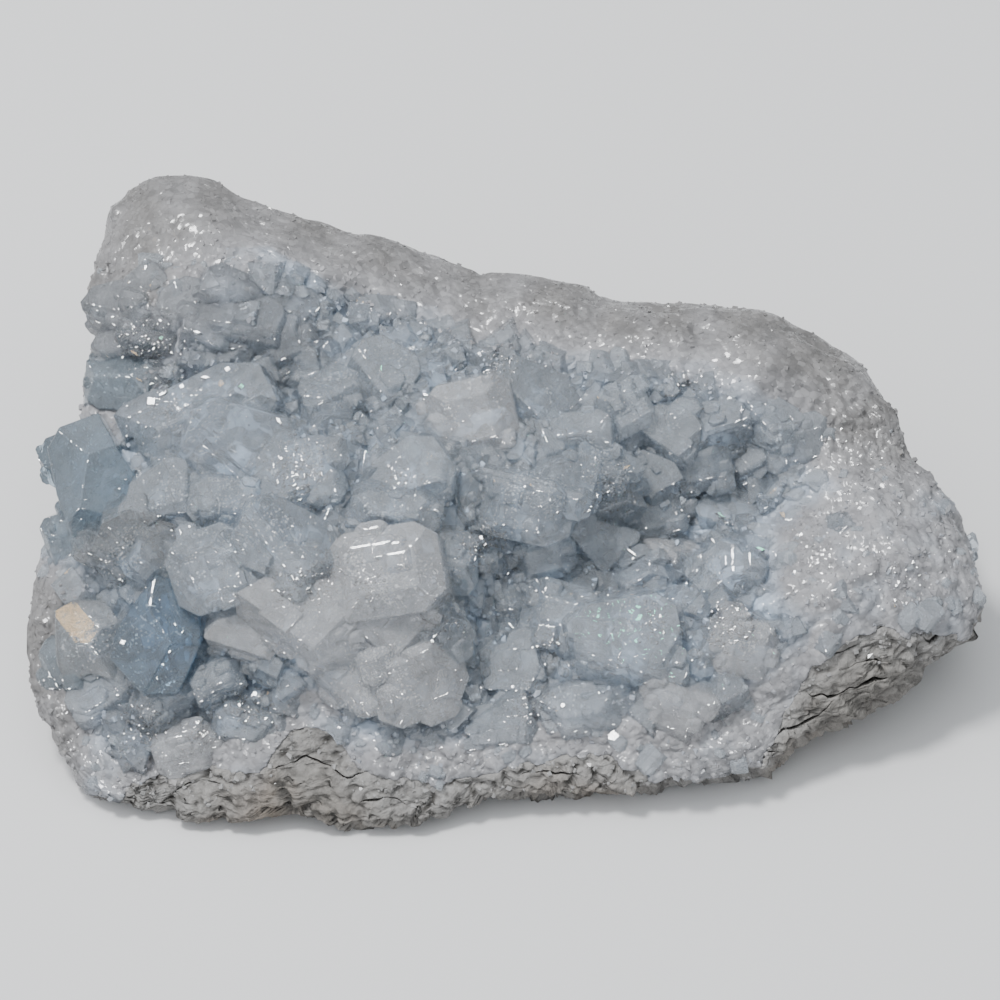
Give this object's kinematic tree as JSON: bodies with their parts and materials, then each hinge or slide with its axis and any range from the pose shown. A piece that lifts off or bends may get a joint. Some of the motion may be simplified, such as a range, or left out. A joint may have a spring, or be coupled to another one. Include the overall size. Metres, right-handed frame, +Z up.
{
  "type": "celestite crystal cluster",
  "caption": "Celestite crystal cluster: pale blue blocky crystals and a sugary white rim on a slab of pale limestone, lying on a flat foot with its face leaning back.",
  "frame": {"origin": "centre of the bounding box's bottom, on the flat foot", "axes": "+X along the length, from the tall knob towards the narrow end; -Y towards the foot of the crystal face, which leans back by 45 degrees; +Z up"},
  "size_m": [0.1006, 0.0688, 0.0389],
  "materials": {
    "limestone": "rough, matte, pale buff grey",
    "celestite": "glassy facets, milky pale blue inside"
  },
  "bodies": {
    "root": {"limestone_matrix": "limestone", "celestite_crystals": "celestite"}
  },
  "joints": []
}
